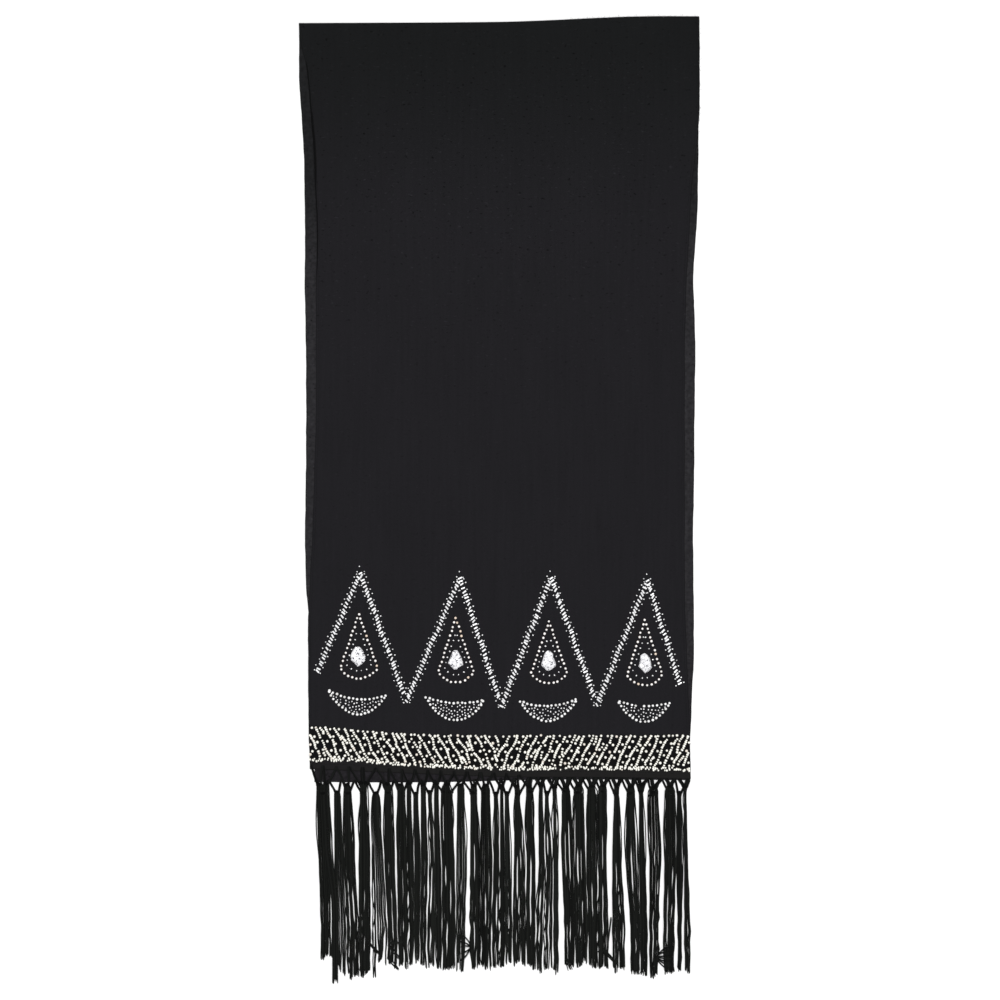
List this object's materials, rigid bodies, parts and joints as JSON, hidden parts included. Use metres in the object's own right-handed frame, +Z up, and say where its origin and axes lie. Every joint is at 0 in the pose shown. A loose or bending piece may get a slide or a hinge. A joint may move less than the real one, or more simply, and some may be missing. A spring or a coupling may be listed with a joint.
{
  "type": "evening stole",
  "caption": "Long black crepe stole folded in half and laid flat, with knotted fringes and a beaded end: a zigzag, drops with foil stones, crescents and a border of slanting bead lines.",
  "frame": {"origin": "middle of the underside, on the surface that the folded stole lies on", "axes": "+X to the right across the stole, +Y along it from the fringe towards the fold, +Z up from the surface"},
  "size_m": [0.5018, 1.2122, 0.0064],
  "materials": {
    "crepe": "black, slightly sheer crepe with a dull face",
    "fringe_thread": "black twisted thread, slight lustre",
    "bugle_glass": "silver-lined glass bugles and seed beads, polished",
    "pearl": "white pearls with a warm lustre",
    "gold_pearl": "cream and pale gold pearls and bead sticks",
    "foil": "silver glitter foil under clear plastic"
  },
  "bodies": {
    "root": {"stole_upper_half": "crepe", "stole_under_half": "crepe", "fringe_upper": "fringe_thread", "fringe_under": "fringe_thread", "zigzag_beading": "bugle_glass", "border_beading": "gold_pearl", "drop_beading_1": "pearl", "drop_stone_1": "foil", "crescent_beading_1": "pearl", "drop_beading_2": "pearl", "drop_stone_2": "foil", "crescent_beading_2": "pearl", "drop_beading_3": "pearl", "drop_stone_3": "foil", "crescent_beading_3": "pearl", "drop_beading_4": "pearl", "drop_stone_4": "foil", "crescent_beading_4": "pearl"}
  },
  "joints": []
}
